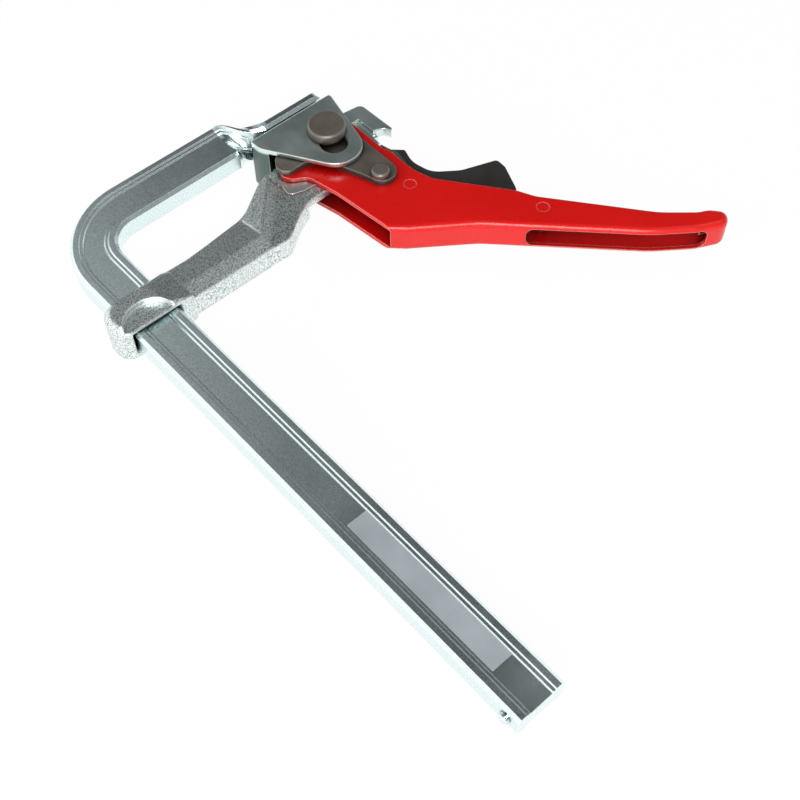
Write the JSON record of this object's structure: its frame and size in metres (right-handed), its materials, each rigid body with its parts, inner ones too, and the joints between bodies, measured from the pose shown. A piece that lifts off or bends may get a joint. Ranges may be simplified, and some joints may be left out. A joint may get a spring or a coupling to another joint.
{
  "type": "quick release bar clamp",
  "caption": "Lever bar clamp: forged rail with a fixed arm, sliding arm with a cam-driven pressure cap, pump lever and ratchet release trigger.",
  "frame": {"origin": "centre of the fixed jaw's pressure face, in the middle plane of the rail", "axes": "+X from the rail towards the lever's side, along the arms; +Y along the rail from the moving jaw to the fixed jaw; +Z through the rail's thickness, out of the face that carries the label"},
  "size_m": [0.2127, 0.2677, 0.0308],
  "materials": {
    "zinc_rail": "bright zinc plating with a blue cast on rolled steel",
    "cast_zinc": "zinc plated rough casting",
    "zinc_sheet": "zinc plated pressed sheet",
    "dark_steel": "dark phosphate coat",
    "red_paint": "glossy red powder coat",
    "black_coat": "matt black coat",
    "spring_steel": "plain spring wire"
  },
  "bodies": {
    "frame": {"rail_and_fixed_arm": "zinc_rail", "end_stop_pin": "zinc_rail"},
    "slide": {"slide_arm": "cast_zinc", "ratchet_plate": "zinc_sheet", "ratchet_rivets": "zinc_sheet", "pivot_rivet": "dark_steel"},
    "lever": {"lever_handle": "red_paint", "cam_plate_front": "dark_steel", "cam_plate_rear": "dark_steel", "cam_rivet": "dark_steel", "cam_rivet_spacer": "dark_steel", "trigger_pin": "dark_steel", "trigger_spring": "spring_steel", "grip_spacer_pin": "dark_steel"},
    "trigger": {"trigger": "black_coat", "pawl": "dark_steel", "pawl_pins": "dark_steel"},
    "cap": {"pressure_cap": "zinc_sheet"}
  },
  "joints": [
    {"name": "arm_slide", "type": "slide", "parent": "frame", "child": "slide", "axis": [0, -1, 0], "range_m": [0, 0.188]},
    {"name": "lever_swing", "type": "hinge", "parent": "slide", "child": "lever", "pos_m": [0, -0.0204, 0], "axis": [0, 0, 1], "range_deg": [-15, 10]},
    {"name": "cap_lift", "type": "slide", "parent": "slide", "child": "cap", "axis": [0.309, 0.9511, 0], "range_m": [-0.0021, 0.0031]},
    {"name": "trigger_release", "type": "hinge", "parent": "lever", "child": "trigger", "pos_m": [0.0082, -0.0616, 0], "axis": [0, 0, -1], "range_deg": [0, 7], "stiffness_Nm_per_rad": 0.5, "springref_deg": -8.59}
  ],
  "couplings": [
    {"joint": "cap_lift", "follows": "lever_swing", "m_per_rad": -0.0117}
  ]
}
